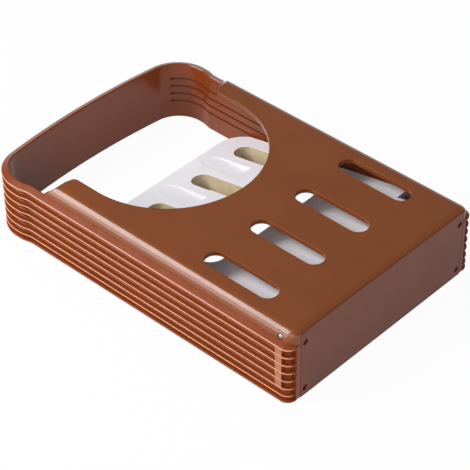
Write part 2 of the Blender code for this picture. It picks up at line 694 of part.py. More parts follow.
def board_cuts(tools):
    """What is cut from the board: slots, scoops, the hand hole and the pins' bores."""
    centre = -(BOARD_SLOT_NEAR + BOARD_SLOT_FAR) / 2
    length = BOARD_SLOT_FAR - BOARD_SLOT_NEAR
    slots = [plate("slot", [obround((centre, y), length, SLOT_WIDTH)],
                   SKIRT_UNDER - OVERRUN, BOARD_TOP + OVERRUN, tools) for y in slot_rows()]
    scoops = [make_scoop(y, tools) for y in scoop_rows()]
    half = HAND_HOLE_LENGTH / 2
    hand = rounded_box(-HAND_HOLE_FAR, -HAND_HOLE_NEAR, -half, half, HAND_HOLE_RADIUS, EDGE_STEPS)
    hole = plate("hand_hole", [hand], SKIRT_UNDER, BOARD_TOP + OVERRUN, tools)
    bores = pair("board_bores", lambda side: rod(
        "bore", "Y", (0, side * (NOTCH_HALF + OVERRUN), 0),
        (0, side * (NOTCH_HALF - PIN_IN_BOARD - GAP), 0), PIN_RADIUS + PIN_CLEARANCE,
        PIN_STEPS, tools), tools)
    return [gather("board_slots", slots, tools), gather("scoops", scoops, tools), hole, bores]


def make_board(group, tools, material):
    """The white board that the loaf lies on, modelled level and then let down on its hinge."""
    board = plate("bread_board", [board_plan()], BOARD_UNDER, BOARD_TOP, group)
    board.data.transform(board.matrix_world)
    hang = Matrix.Translation((AXIS_X, 0, AXIS_HEIGHT)) @ Matrix.Rotation(-REST_TILT, 4, "Y")
    parts = board_joins(tools)
    cuts = board_cuts(tools)
    for tool in parts:
        join(board, tool)
    for tool in cuts:
        cut(board, tool)
    for tool in parts + cuts:
        tool.matrix_world = hang @ tool.matrix_world
    board.matrix_world = hang
    finish(board, material)
    return board


def main():
    clear_scene()
    group = make_collection("bread_slicer_guide")
    tools = make_collection("shaping_tools")
    brown = make_material("moulded_brown_abs", (0.227, 0.068, 0.026), 0.25)
    foot_brown = make_material("moulded_dark_brown_abs", (0.195, 0.095, 0.082), 0.35)
    white = make_material("moulded_white_pp", (0.80, 0.79, 0.81), 0.35)
    steel = make_material("turned_steel", (0.72, 0.71, 0.69), 0.22, 1.0)
    dark_steel = make_material("blackened_steel", (0.060, 0.035, 0.030), 0.45, 1.0)
    make_frame(group, tools, brown)
    make_panel(group, tools, brown)
    make_plate(group, tools, foot_brown)
    make_screws(group, tools, dark_steel)
    make_pins(group, steel)
    make_board(group, tools, white)


main()
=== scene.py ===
import math

import bmesh
import bpy
from mathutils import Matrix, Vector
from mathutils.geometry import intersect_point_line


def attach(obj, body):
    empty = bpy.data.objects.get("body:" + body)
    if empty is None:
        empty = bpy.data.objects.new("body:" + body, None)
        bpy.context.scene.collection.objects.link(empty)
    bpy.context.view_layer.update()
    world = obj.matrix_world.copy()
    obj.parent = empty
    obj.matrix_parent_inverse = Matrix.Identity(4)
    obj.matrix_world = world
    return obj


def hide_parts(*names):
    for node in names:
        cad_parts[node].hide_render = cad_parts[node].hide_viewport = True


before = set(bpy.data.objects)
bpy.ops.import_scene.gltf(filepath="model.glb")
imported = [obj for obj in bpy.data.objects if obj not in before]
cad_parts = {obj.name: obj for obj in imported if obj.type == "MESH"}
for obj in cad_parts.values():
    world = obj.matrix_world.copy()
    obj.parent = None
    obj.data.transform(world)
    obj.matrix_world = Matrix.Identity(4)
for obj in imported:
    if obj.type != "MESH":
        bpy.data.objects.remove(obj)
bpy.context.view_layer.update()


# Camera
# Looks down on the folded guide from the near foot corner. Its place, turn and lens were
# solved from the straight edges in the photograph, which is taken as 470 pixels square.
IMAGE_SIZE = 470
CAMERA_TARGET = Vector((0.0147, 0.0, 0.0187))
CAMERA_AZIMUTH = math.radians(42.84)
CAMERA_ELEVATION = math.radians(39.32)
CAMERA_ROLL = math.radians(-0.30)
CAMERA_DISTANCE = 1.0269
CAMERA_FOCUS_PIXELS = 1997.95
CAMERA_SENSOR = 36.0
CAMERA_RIGHT_PIXELS = 10.46
CAMERA_UP_PIXELS = 10.39

back = Vector((math.sin(CAMERA_AZIMUTH) * math.cos(CAMERA_ELEVATION),
               -math.cos(CAMERA_AZIMUTH) * math.cos(CAMERA_ELEVATION),
               math.sin(CAMERA_ELEVATION)))
right = Vector((math.cos(CAMERA_AZIMUTH), math.sin(CAMERA_AZIMUTH), 0))
up = back.cross(right)
turned_right = math.cos(CAMERA_ROLL) * right + math.sin(CAMERA_ROLL) * up
turned_up = math.cos(CAMERA_ROLL) * up - math.sin(CAMERA_ROLL) * right
camera_data = bpy.data.cameras.new("camera")
camera_data.sensor_width = CAMERA_SENSOR
camera_data.lens = CAMERA_FOCUS_PIXELS * CAMERA_SENSOR / IMAGE_SIZE
camera_data.shift_x = -CAMERA_RIGHT_PIXELS / IMAGE_SIZE
camera_data.shift_y = -CAMERA_UP_PIXELS / IMAGE_SIZE
camera_data.clip_start = 0.05
camera_data.clip_end = 20
camera = bpy.data.objects.new("camera", camera_data)
bpy.context.scene.collection.objects.link(camera)
camera.matrix_world = Matrix.Translation(CAMERA_TARGET + back * CAMERA_DISTANCE) @ Matrix(
    (turned_right, turned_up, back)).transposed().to_4x4()
bpy.context.scene.camera = camera
bpy.context.scene.view_settings.view_transform = "Standard"


# Guide frame
# One U-shaped moulding in brown ABS: two finned arms joined by a bowed handle end.
# The fins steer the bread knife, which runs in four slits through the wall between them.
LENGTH = 0.214
WIDTH = 0.140
HEIGHT = 0.042
GAP = 0.0003
OVERRUN = 0.002
MERGE = 0.000004
START_X = -LENGTH / 2
FOOT_X = LENGTH / 2
HALF = WIDTH / 2
RIM_HEIGHT = 0.0360
FRAME_DEPTH = 0.0042
POCKET_DEPTH = 0.0025
FIN_COUNT = 7
FIN_PITCH = 0.0050
FIN_THICKNESS = 0.0008
TOP_FIN_HEIGHT = 0.0340
LEDGE_HEIGHT = 0.0342
LAST_FIN_HEIGHT = 0.0045
BOTTOM_RIM = 0.0010
POCKET_TAPER = 0.35 * FIN_THICKNESS
FIN_ROUND = 0.00034
# How far the painted highlight on the fins' upper edges reaches, and how much of it the posts get.
FIN_HIGHLIGHT_REACH = 0.0006
POST_PAINTED_HIGHLIGHT = 0.5
POCKET_ROUND = 0.0003
RIM_ROUND = 0.0009
SHOULDER_DEPTH = 0.0034
SHOULDER_HEIGHT = 0.03578
SHOULDER_ROUND = 0.0030
TOP_FIN_ROUND = 0.0004
BULGE = 0.0014
BULGE_START = 0.0270
BULGE_END = 0.0350
BOW = 0.0030
HANDLE_RADIUS = 0.0210
HANDLE_TURN = 85
BULGE_STEPS = 12
BOW_STEPS = 7
CORNER_POST_TOP = 0.0314
FOOT_RADIUS = 0.0054
BORDER_WIDTH = 0.0028
FAR_BORDER_CUT = 0.0012
BORDER_OUTER = HALF - FOOT_RADIUS
PLATE_THICKNESS = 0.0030
PLATE_INNER_X = FOOT_X - PLATE_THICKNESS
PLATE_HALF = BORDER_OUTER - BORDER_WIDTH - GAP
INNER_HALF = HALF - FRAME_DEPTH
PANEL_HALF = HALF - 0.0030
PANEL_CORNER = 0.0060
SEAM = 0.00005
POST_WIDTH = 0.0046
POST_SINK = 0.0002
POST_SLANT = 0.0009
POST_END_X = FOOT_X - 0.0051
END_POST_INNER = 0.0560
END_POST_X = PLATE_INNER_X - GAP - 0.0033
DEEP_FLANGE_X = FOOT_X - 0.0134
SLIT_COUNT = 4
SLIT_THICKNESS = 0.0014
SLIT_START_X = START_X + 0.0098
SLIT_END_X = START_X + 0.2022
DRIFT_SIZE = 0.035
PAINT_BREAKUP_SIZE = 0.004
GLOSS_SIZE = 0.012
SINK_SIZE = 0.018
FLAT_ANGLE = math.radians(0.2)
SHARP_ANGLE = math.radians(35)
FIN_SHARP_ANGLE = math.radians(20)


def arc(centre, radius, start, end, steps):
    """Points on an arc, angles in degrees, both ends included."""
    turns = [math.radians(start + (end - start) * i / steps) for i in range(steps + 1)]
    return [(centre[0] + radius * math.cos(a), centre[1] + radius * math.sin(a)) for a in turns]


def soften(corners, steps):
    """A closed outline from corners (a, b, radius), each corner rounded to its radius."""
    points = []
    for i, (a, b, radius) in enumerate(corners):
        here = Vector((a, b))
        if radius == 0:
            points.append((a, b))
            continue
        before = (Vector(corners[i - 1][:2]) - here).normalized()
        after = (Vector(corners[(i + 1) % len(corners)][:2]) - here).normalized()
        half = before.angle(after) / 2
        centre = here + (before + after).normalized() * radius / math.sin(half)
        first = here + before * radius / math.tan(half) - centre
        last = here + after * radius / math.tan(half) - centre
        start = math.degrees(math.atan2(first.y, first.x))
        end = math.degrees(math.atan2(last.y, last.x))
        points += arc(centre, radius, start, start + (end - start + 180) % 360 - 180, steps)
    return points


def prism(shape, outline, low, high, axes="XYZ"):
    """Add a flat outline, drawn out into a solid along the last of the three axes."""
    order = ["XYZ".index(axis) for axis in axes]
    corners = []
    for a, b in outline:
        place = [0, 0, 0]
        place[order[0]] = a
        place[order[1]] = b
        place[order[2]] = low
        corners.append(shape.verts.new(place))
    face = shape.faces.new(corners)
    moved = bmesh.ops.extrude_face_region(shape, geom=[face])
    reach = Vector((0, 0, 0))
    reach[order[2]] = high - low
    raised = [item for item in moved["geom"] if isinstance(item, bmesh.types.BMVert)]
    bmesh.ops.translate(shape, vec=reach, verts=raised)


def box(shape, x, y, z):
    """Add a plain box between two places along each axis, given in any order."""
    size = [abs(b - a) for a, b in (x, y, z)]
    centre = [(a + b) / 2 for a, b in (x, y, z)]
    bmesh.ops.create_cube(shape, size=1, matrix=Matrix.Translation(centre) @ Matrix.Diagonal((*size, 1)))


def make_object(name, shape):
    """An object made of a bmesh, its doubles merged and its faces turned outward."""
    bmesh.ops.remove_doubles(shape, verts=shape.verts, dist=MERGE)
    bmesh.ops.recalc_face_normals(shape, faces=shape.faces)
    mesh = bpy.data.meshes.new(name)
    shape.to_mesh(mesh)
    shape.free()
    item = bpy.data.objects.new(name, mesh)
    bpy.context.scene.collection.objects.link(item)
    return item


def carve(piece, operation, tool_shape, place=Matrix.Identity(4)):
    """Cut, join or trim a piece with a shape, and keep only the result's mesh."""
    tool = make_object("tool", tool_shape)
    tool.data.transform(place)
    modifier = piece.modifiers.new("carve", "BOOLEAN")
    modifier.operation = operation
    modifier.solver = "MANIFOLD"
    modifier.object = tool
    graph = bpy.context.evaluated_depsgraph_get()
    mesh = bpy.data.meshes.new_from_object(piece.evaluated_get(graph))
    piece.modifiers.clear()
    mesh.name = piece.name
    piece.data = mesh
    bpy.data.objects.remove(tool, do_unlink=True)


def round_edges(piece, chosen, width, segments):
    """Round the sharp edges of a piece that the test picks by their two ends."""
    shape = bmesh.new()
    shape.from_mesh(piece.data)
    bmesh.ops.dissolve_limit(shape, angle_limit=FLAT_ANGLE, verts=shape.verts, edges=shape.edges)
    edges = []
    for edge in shape.edges:
        sharp = len(edge.link_faces) == 2 and edge.calc_face_angle() > SHARP_ANGLE
        if sharp and chosen(edge.verts[0].co) and chosen(edge.verts[1].co):
            edges.append(edge)
    bmesh.ops.bevel(shape, geom=edges, offset=width, offset_type="OFFSET", segments=segments,
                    profile=0.5, affect="EDGES", material=-1, clamp_overlap=True)
    shape.to_mesh(piece.data)
    shape.free()


def split_faces(piece, *places):
    """Split a piece's faces at some places along X, so that its long faces shade evenly."""
    shape = bmesh.new()
    shape.from_mesh(piece.data)
    for x in places:
        bmesh.ops.bisect_plane(shape, geom=shape.verts[:] + shape.edges[:] + shape.faces[:], dist=MERGE,
                               plane_co=(x, 0, 0), plane_no=(1, 0, 0))
    shape.to_mesh(piece.data)
    shape.free()


def finish_piece(piece, material, body, slot, *nodes, sharp=SHARP_ANGLE):
    """Smooth a piece's round faces, paint it and let it stand for its CAD nodes."""
    piece.data.materials.clear()
    piece.data.materials.append(material)
    piece.data.shade_smooth()
    piece.data.set_sharp_from_angle(angle=sharp)
    normals = piece.modifiers.new("flat faces stay flat", "WEIGHTED_NORMAL")
    normals.keep_sharp = True
    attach(piece, body)
    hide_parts(*nodes)


def mark_painted_light(piece, share):
    """Store how much painted light each face of a piece gets, from 0 to 1, for its material."""
    painted_light = piece.data.attributes.new("painted_light", "FLOAT", "FACE")
    for face, value in zip(piece.data.polygons, painted_light.data):
        value.value = min(1, max(0, share(face.center)))


def line_distance(point, line):
    """How far a point lies from an open line of points, seen from above."""
    flat = Vector((point.x, point.y, 0))
    nearest = 1
    for start, end in zip(line, line[1:]):
        place, share = intersect_point_line(flat, start, end)
        place = start if share < 0 else end if share > 1 else place
        nearest = min(nearest, (place - flat).length)
    return nearest


def frame_path():
    """The frame's outer line in plan, from the near foot corner round to the far one."""
    side = HALF + BULGE
    near = [(FOOT_X - GAP, -BORDER_OUTER + BORDER_WIDTH / 2)]
    near += arc((FOOT_X - FOOT_RADIUS, -HALF + FOOT_RADIUS), FOOT_RADIUS, 0, -90, steps=12)
    start = START_X + BULGE_END
    reach = BULGE_END - BULGE_START
    for i in range(BULGE_STEPS + 1):
        ease = (1 - math.cos(math.pi * i / BULGE_STEPS)) / 2
        near.append((start - reach * i / BULGE_STEPS, -HALF - BULGE * ease))
    corner = (START_X + BOW + HANDLE_RADIUS, -side + HANDLE_RADIUS)
    near += arc(corner, HANDLE_RADIUS, -90, -90 - HANDLE_TURN, steps=20)
    first_x, bow_half = near[-1]
    for i in range(1, BOW_STEPS + 1):
        y = bow_half * (1 - i / BOW_STEPS)
        near.append((START_X + (first_x - START_X) * (y / bow_half) ** 2, y))
    return near + [(x, -y) for x, y in reversed(near[:-1])]


def frame_section():
    """The wall's section, (depth in from the outer line, height), fins on the outer side."""
    corners = [(FRAME_DEPTH, 0, FIN_ROUND), (FRAME_DEPTH, RIM_HEIGHT, RIM_ROUND)]
    corners.append((SHOULDER_DEPTH, SHOULDER_HEIGHT, SHOULDER_ROUND))
    corners.append((0, TOP_FIN_HEIGHT + GAP, TOP_FIN_ROUND))
    tops = fin_tops()
    for top in tops:
        if top != TOP_FIN_HEIGHT:
            corners.append((POCKET_DEPTH, top + POCKET_TAPER, POCKET_ROUND))
            corners.append((0, top, FIN_ROUND))
        corners.append((0, top - FIN_THICKNESS, FIN_ROUND))
        corners.append((POCKET_DEPTH, top - FIN_THICKNESS - POCKET_TAPER, POCKET_ROUND))
    corners.append((POCKET_DEPTH, BOTTOM_RIM + POCKET_TAPER, POCKET_ROUND))
    corners.append((0, BOTTOM_RIM, FIN_ROUND))
    corners.append((0, 0, FIN_ROUND))
    return soften(corners, steps=3)


def fin_tops():
    """Heights of the fins' upper faces, from the top one down."""
    return [TOP_FIN_HEIGHT - FIN_PITCH * i for i in range(FIN_COUNT - 1)] + [LAST_FIN_HEIGHT]


def sweep(section, path):
    """A section, (depth in, height), extruded along a level open line, mitred at its bends."""
    places = []
    for i, (x, y) in enumerate(path):
        here = Vector((x, y, 0))
        before = here - Vector((*path[max(i - 1, 0)], 0))
        after = Vector((*path[min(i + 1, len(path) - 1)], 0)) - here
        along = (before.normalized() + after.normalized()).normalized()
        bend = before.angle(after) / 2 if before.length and after.length else 0
        inward = Vector((along.y, -along.x, 0)) / math.cos(bend)
        turn = Matrix((inward, along, (0, 0, 1))).transposed().to_4x4()
        places.append(Matrix.Translation(here) @ turn)
    shape = bmesh.new()
    start = [places[0] @ Vector((depth, 0, height)) for depth, height in section]
    cap = shape.faces.new([shape.verts.new(point) for point in start])
    front = cap
    for here, there in zip(places, places[1:]):
        moved = bmesh.ops.extrude_face_region(shape, geom=[front])
        if front != cap:
            bmesh.ops.delete(shape, geom=[front], context="FACES_ONLY")
        front = next(item for item in moved["geom"] if isinstance(item, bmesh.types.BMFace))
        bmesh.ops.transform(shape, matrix=there @ here.inverted(), verts=front.verts)
    return shape


def linear(code):
    """An sRGB hex colour as linear red, green, blue and alpha."""
    parts = [int(code[i:i + 2], 16) / 255 for i in (1, 3, 5)]
    return (*[c / 12.92 if c <= 0.04045 else ((c + 0.055) / 1.055) ** 2.4 for c in parts], 1)


def add(tree, kind, inputs=None, **settings):
    """Add a node: settings are its properties, inputs its sockets' values or sources."""
    node = tree.nodes.new("ShaderNode" + kind)
    for name, value in settings.items():
        setattr(node, name, value)
    for socket, value in (inputs or {}).items():
        if isinstance(value, bpy.types.NodeSocket):
            tree.links.new(value, node.inputs[socket])
        else:
            node.inputs[socket].default_value = value
    return node


def new_material(name):
    """An empty node material with its Principled shader, and the object's coordinates."""
    material = bpy.data.materials.new(name)
    material.use_nodes = True
    tree = material.node_tree
    return material, tree, tree.nodes["Principled BSDF"], add(tree, "TexCoord").outputs["Object"]


def moulded_plastic(name, code, painted_light_code, roughness, ior, grain_mm, painted_light):
    """Moulded plastic: drifting colour, a fine spark-eroded grain, sink marks and uneven gloss.
    It gives the eye soft-edged reflections, and a painted light colour where a face's painted light share is
    high.
    That share is the piece's own attribute, and the last value says how much of it shows."""
    material, tree, shader, place = new_material(name)
    drift = add(tree, "TexNoise", {"Vector": place, "Scale": 1 / DRIFT_SIZE, "Detail": 3, "Roughness": 0.5})
    tone = add(tree, "MapRange", {"Value": drift.outputs[0], "From Min": 0.3, "From Max": 0.7,
                                  "To Min": 0.94, "To Max": 1.06})
    body = add(tree, "HueSaturation", {"Color": linear(code), "Value": tone.outputs[0]})
    # Painted light: the attribute mixes in a painted highlight colour on brown edges and painted warm bounce
    # light and shade on white walls, broken up by noise, with roughness rising along with it.
    edge = add(tree, "Attribute", attribute_name="painted_light").outputs["Fac"]
    marks = add(tree, "TexNoise", {"Vector": place, "Scale": 1 / PAINT_BREAKUP_SIZE, "Detail": 4, "Roughness": 0.7})
    tip = add(tree, "MapRange", {"Value": edge, "From Min": 0.42, "From Max": 0.7, "To Min": 0, "To Max": 1})
    broken = add(tree, "MapRange", {"Value": marks.outputs[0], "From Min": 0.3, "From Max": 0.6,
                                    "To Min": 0.7, "To Max": 1})
    broken_painted_light = add(tree, "Math", {0: tip.outputs[0], 1: broken.outputs[0]}, operation="MULTIPLY")
    share = add(tree, "Math", {0: broken_painted_light.outputs[0], 1: painted_light}, operation="MULTIPLY")
    colour = add(tree, "Mix", {0: share.outputs[0], 6: body.outputs[0], 7: linear(painted_light_code)},
                 data_type="RGBA")
    tree.links.new(colour.outputs[2], shader.inputs["Base Color"])
    sheen = add(tree, "TexNoise", {"Vector": place, "Scale": 1 / GLOSS_SIZE, "Detail": 5, "Roughness": 0.6})
    gloss = add(tree, "MapRange", {"Value": sheen.outputs[0], "From Min": 0.3, "From Max": 0.7,
                                   "To Min": roughness - 0.04, "To Max": roughness + 0.05})
    dull = add(tree, "Math", {0: share.outputs[0], 1: 0.3, 2: gloss.outputs[0]}, operation="MULTIPLY_ADD")
    tree.links.new(dull.outputs[0], shader.inputs["Roughness"])
    grain = add(tree, "TexNoise", {"Vector": place, "Scale": 1000 / grain_mm, "Detail": 2, "Roughness": 0.6})
    sink = add(tree, "TexNoise", {"Vector": place, "Scale": 1 / SINK_SIZE, "Detail": 1, "Roughness": 0.4})
    rough = add(tree, "Bump", {"Height": grain.outputs[0], "Strength": 0.03, "Distance": 0.00003})
    bump = add(tree, "Bump", {"Height": sink.outputs[0], "Strength": 0.08, "Distance": 0.0002,
                              "Normal": rough.outputs[0]})
    tree.links.new(bump.outputs[0], shader.inputs["Normal"])
    shader.inputs["IOR"].default_value = ior
    return material


# Orange-brown, with painted highlights: salmon lines along the fins' upper edges and a lighter tint on the
# posts.
finned_abs = moulded_plastic("moulded_brown_abs_with_painted_fin_highlights", "#803A16", "#F0A582",
                             roughness=0.2, ior=1.46, grain_mm=0.5, painted_light=0.9)
# The same brown with a glossier skin, and a painted highlight in a paler colour along the openings' rounded
# edges.
brown_abs = moulded_plastic("glossy_moulded_brown_abs", "#7B401A", "#C98A66",
                            roughness=0.19, ior=1.5, grain_mm=0.5, painted_light=0.4)

guide = make_object("finned_guide_frame", sweep(frame_section(), frame_path()))

post_outline = [(POST_END_X, TOP_FIN_HEIGHT - FIN_THICKNESS / 2)]
for top in fin_tops()[:-2]:
    post_outline.append((POST_END_X - POST_WIDTH, top - FIN_THICKNESS / 2))
    post_outline.append((POST_END_X - POST_WIDTH + POST_SLANT, top - FIN_PITCH - FIN_THICKNESS / 4))
post_outline[-1] = (POST_END_X - POST_WIDTH + POST_SLANT, fin_tops()[-2] - FIN_THICKNESS / 2)
post_outline.append((POST_END_X, fin_tops()[-2] - FIN_THICKNESS / 2))
posts = bmesh.new()
prism(posts, post_outline, -HALF + POST_SINK, -HALF + POCKET_DEPTH + GAP, "XZY")
prism(posts, post_outline, HALF - POCKET_DEPTH - GAP, HALF - POST_SINK, "XZY")
carve(guide, "UNION", posts)
corners = bmesh.new()
borders = bmesh.new()
for side in (-1, 1):
    box(corners, (END_POST_X, PLATE_INNER_X - GAP), (side * END_POST_INNER, side * (INNER_HALF + GAP)),
        (GAP, CORNER_POST_TOP - GAP))
    outer = BORDER_OUTER if side < 0 else BORDER_OUTER - FAR_BORDER_CUT
    box(borders, (END_POST_X + GAP, FOOT_X), (side * (PLATE_HALF + GAP), side * outer),
        (GAP * 2, LEDGE_HEIGHT + GAP - SEAM * 2))
carve(guide, "UNION", corners)
carve(guide, "UNION", borders)
slits = bmesh.new()
for i in range(1, SLIT_COUNT + 1):
    middle = (fin_tops()[i] - FIN_THICKNESS + fin_tops()[i + 1]) / 2
    box(slits, (SLIT_START_X, SLIT_END_X), (-WIDTH, WIDTH),
        (middle - SLIT_THICKNESS / 2, middle + SLIT_THICKNESS / 2))
carve(guide, "DIFFERENCE", slits)
step = bmesh.new()
step_half = PANEL_HALF + SEAM
step_corner = PANEL_CORNER + SEAM
step_corners = [(FOOT_X + SEAM, step_half, step_corner), (DEEP_FLANGE_X - SEAM, step_half, 0),
                (DEEP_FLANGE_X - SEAM, -step_half, 0), (FOOT_X + SEAM, -step_half, step_corner)]
prism(step, soften(step_corners, steps=12), LEDGE_HEIGHT + GAP - SEAM, HEIGHT)
carve(guide, "DIFFERENCE", step)
outer_line = [Vector((*point, 0)) for point in frame_path()]


def fin_painted_highlight(point):
    """How much painted highlight a face of the frame gets: most at the fins' upper edges, less on the posts.
    """
    if point.x > FOOT_X - FIN_HIGHLIGHT_REACH or point.z > TOP_FIN_HEIGHT + GAP * 2:
        return 0
    if abs(HALF - POST_SINK - abs(point.y)) < MERGE:
        return POST_PAINTED_HIGHLIGHT
    below = min(abs(top - point.z) for top in fin_tops())
    return 1 - max(line_distance(point, outer_line), below) / FIN_HIGHLIGHT_REACH


# Painted highlights on the fins' upper edges and on the posts.
mark_painted_light(guide, fin_painted_highlight)
finish_piece(guide, finned_abs, "guide", "brown_plastic", "guide_frame", sharp=FIN_SHARP_ANGLE)


# Back panel
# An arched cover in the same brown ABS, welded to the frame's rim. It has a wide hand
# cut-out toward the handle end and four long slots, and its ears carry the hinge pins.
PANEL_START_X = START_X + 0.0507
PANEL_START_SWEEP = 0.0075
PANEL_THICKNESS = 0.0026
PANEL_UNDER = HEIGHT - PANEL_THICKNESS
PANEL_EDGE_RADIUS = 0.0060
PANEL_INSIDE_RADIUS = 0.0015
DROOP_LENGTH = 0.0049
DROOP_RADIUS = 0.0099
PANEL_END_ROUND = 0.0005
BALL_STEPS = 10
PLATE_LIP = 0.0006
PANEL_END_X = FOOT_X - PLATE_LIP - SEAM
FLANGE_UNDER = LEDGE_HEIGHT + GAP
FLANGE_ROUND = 0.0003
FLANGE_ROOT = PANEL_HALF - PANEL_THICKNESS + GAP * 2
BOSS_UNDER = FLANGE_UNDER - 0.0028
BOSS_LENGTH = 0.0038
EAR_INNER = 0.0560
EAR_LENGTH = 0.0079
EAR_END_X = PLATE_INNER_X - GAP
CUTOUT_RADIUS = 0.0520
CUTOUT_CENTRE_X = START_X + 0.0680
TIP_RADIUS = 0.0030
SLOT_PITCH = 0.0334
SLOT_WIDTH = 0.0114
SLOT_START_X = START_X + 0.1424
SLOT_END_X = START_X + 0.1880
PANEL_EDGE_ROUND = 0.0010
# Share of painted highlight on the openings' rounded upper edges.
EDGE_PAINTED_HIGHLIGHT = 1
PANEL_UNDER_ROUND = 0.0004
AXIS_X = FOOT_X - 0.0088
AXIS_HEIGHT = 0.0375
PIN_RADIUS = 0.00125
PIN_CLEARANCE = 0.0001
PIN_RING = 0.0004
PIN_RING_DEPTH = 0.0010
BARREL_RADIUS = 0.0027
SCREW_ACROSS = 0.0585
SCREW_HEIGHTS = (0.0046, 0.0340)
SCREW_RADIUS = 0.0008
SCREW_HEAD_RADIUS = 0.0014
PILOT_DEPTH = 0.0065


def slot_rows():
    """Places across the object of the four rows of long slots."""
    return [SLOT_PITCH * (i - 1.5) for i in range(4)]


def obround(x0, x1, y, width):
    """Outline of a slot with round ends between two places along the object."""
    radius = width / 2
    left = arc((x0 + radius, y), radius, 90, 270, steps=20)
    return left + arc((x1 - radius, y), radius, -90, 90, steps=20)


def rod(shape, axis, place, start, end, radius):
    """Add a plain cylinder along X or Y, at a place (the other two coordinates in order)."""
    centre = [(start + end) / 2, *place] if axis == "X" else [place[0], (start + end) / 2, place[1]]
    turn = Matrix.Rotation(math.pi / 2, 4, "Y" if axis == "X" else "X")
    bmesh.ops.create_cone(shape, cap_ends=True, segments=32, radius1=radius, radius2=radius,
                          depth=abs(end - start), matrix=Matrix.Translation(centre) @ turn)


def pin_face():
    """How far out the panel's rounded side lies at the height of the hinge axis."""
    lift = AXIS_HEIGHT - (HEIGHT - PANEL_EDGE_RADIUS)
    return PANEL_HALF - PANEL_EDGE_RADIUS + math.sqrt(PANEL_EDGE_RADIUS ** 2 - lift ** 2)


def loft(loops):
    """A closed solid drawn through loops of as many points each, its two ends capped."""
    shape = bmesh.new()
    rings = [[shape.verts.new(point) for point in loop] for loop in loops]
    edges = [[shape.edges.new(pair) for pair in zip(ring, ring[1:] + ring[:1])] for ring in rings]
    for before, after in zip(edges, edges[1:]):
        bmesh.ops.bridge_loops(shape, edges=before + after)
    shape.faces.new(rings[0])
    shape.faces.new(rings[-1])
    return shape


def ball_corner(side, end_curve):
    """What is cut off a foot corner: the end's curve turns into the side's round on the way."""
    around = arc((0, HEIGHT - PANEL_EDGE_RADIUS), PANEL_EDGE_RADIUS + MERGE * 2, 90, 0, len(end_curve) - 1)
    low = FLANGE_UNDER - OVERRUN
    loops = []
    for i in range(BALL_STEPS + 1):
        turn = i / BALL_STEPS
        share = turn * turn * (3 - 2 * turn)
        rim = [(a[0] * (1 - share) + b[0] * share, a[1] * (1 - share) + b[1] * share)
               for a, b in zip(end_curve, around)]
        rim += [(PANEL_CORNER, low), (PANEL_CORNER * 2, low), (PANEL_CORNER * 2, HEIGHT + OVERRUN),
                (0, HEIGHT + OVERRUN)]
        forward = math.cos(turn * math.pi / 2)
        outward = math.sin(turn * math.pi / 2)
        loop = []
        for reach, height in rim:
            y = side * (PANEL_HALF - PANEL_CORNER + reach * outward)
            loop.append((FOOT_X - PANEL_CORNER + reach * forward, y, height))
        loops.append(loop)
    return loft(loops)


wall = PANEL_HALF - PANEL_THICKNESS
panel_section = soften([
    (PANEL_HALF, FLANGE_UNDER, FLANGE_ROUND), (PANEL_HALF, HEIGHT, PANEL_EDGE_RADIUS),
    (-PANEL_HALF, HEIGHT, PANEL_EDGE_RADIUS), (-PANEL_HALF, FLANGE_UNDER, FLANGE_ROUND),
    (-wall, FLANGE_UNDER, 0), (-wall, PANEL_UNDER, PANEL_INSIDE_RADIUS),
    (wall, PANEL_UNDER, PANEL_INSIDE_RADIUS), (wall, FLANGE_UNDER, 0)], steps=14)
panel_shape = bmesh.new()
prism(panel_shape, panel_section, PANEL_START_X - PANEL_START_SWEEP * 2, FOOT_X, "YZX")
panel = make_object("arched_back_panel", panel_shape)
ears = bmesh.new()
cheeks = bmesh.new()
bosses = bmesh.new()
ear_top = PANEL_UNDER + PANEL_THICKNESS / 4
for side in (-1, 1):
    box(ears, (EAR_END_X - EAR_LENGTH, EAR_END_X), (side * EAR_INNER, side * FLANGE_ROOT),
        (FLANGE_UNDER, ear_top))
    box(cheeks, (EAR_END_X - GAP, FOOT_X), (side * (PLATE_HALF + GAP), side * FLANGE_ROOT),
        (FLANGE_UNDER, ear_top))
    box(bosses, (EAR_END_X - BOSS_LENGTH, EAR_END_X), (side * EAR_INNER, side * PLATE_HALF),
        (BOSS_UNDER, FLANGE_UNDER + GAP))
carve(panel, "UNION", ears)
carve(panel, "UNION", cheeks)
droop_end = 90 - math.degrees(math.asin(DROOP_LENGTH / DROOP_RADIUS))
droop_centre = (FOOT_X - DROOP_LENGTH, HEIGHT - DROOP_RADIUS)
droop = arc(droop_centre, DROOP_RADIUS, droop_end, 90, steps=10)
side_corners = [(FOOT_X, -OVERRUN, 0), (*droop[0], PANEL_END_ROUND)]
side_corners += [(*point, 0) for point in droop[1:]]
side_corners += [(PANEL_START_X, HEIGHT, 0), (PANEL_START_X - PANEL_START_SWEEP, RIM_HEIGHT, 0),
                 (PANEL_START_X - PANEL_START_SWEEP, -OVERRUN, 0)]
side_line = soften(side_corners, steps=4)
beside = bmesh.new()
prism(beside, side_line, -WIDTH, WIDTH, "XZY")
carve(panel, "INTERSECT", beside)
end_curve = [(x - FOOT_X + PANEL_CORNER, height) for x, height in reversed(side_line[1:-3])]
end_curve = [(0, HEIGHT + MERGE * 2)] + end_curve + [(PANEL_CORNER, HEIGHT - PANEL_EDGE_RADIUS)]
for side in (-1, 1):
    carve(panel, "DIFFERENCE", ball_corner(side, end_curve))
carve(panel, "UNION", bosses)
trims = bmesh.new()
box(trims, (START_X, DEEP_FLANGE_X), (-HALF, HALF), (FLANGE_UNDER - OVERRUN, RIM_HEIGHT - GAP))
carve(panel, "DIFFERENCE", trims)
recess = bmesh.new()
box(recess, (EAR_END_X, FOOT_X + OVERRUN), (-PLATE_HALF - GAP, PLATE_HALF + GAP),
    (FLANGE_UNDER - OVERRUN, PANEL_UNDER))
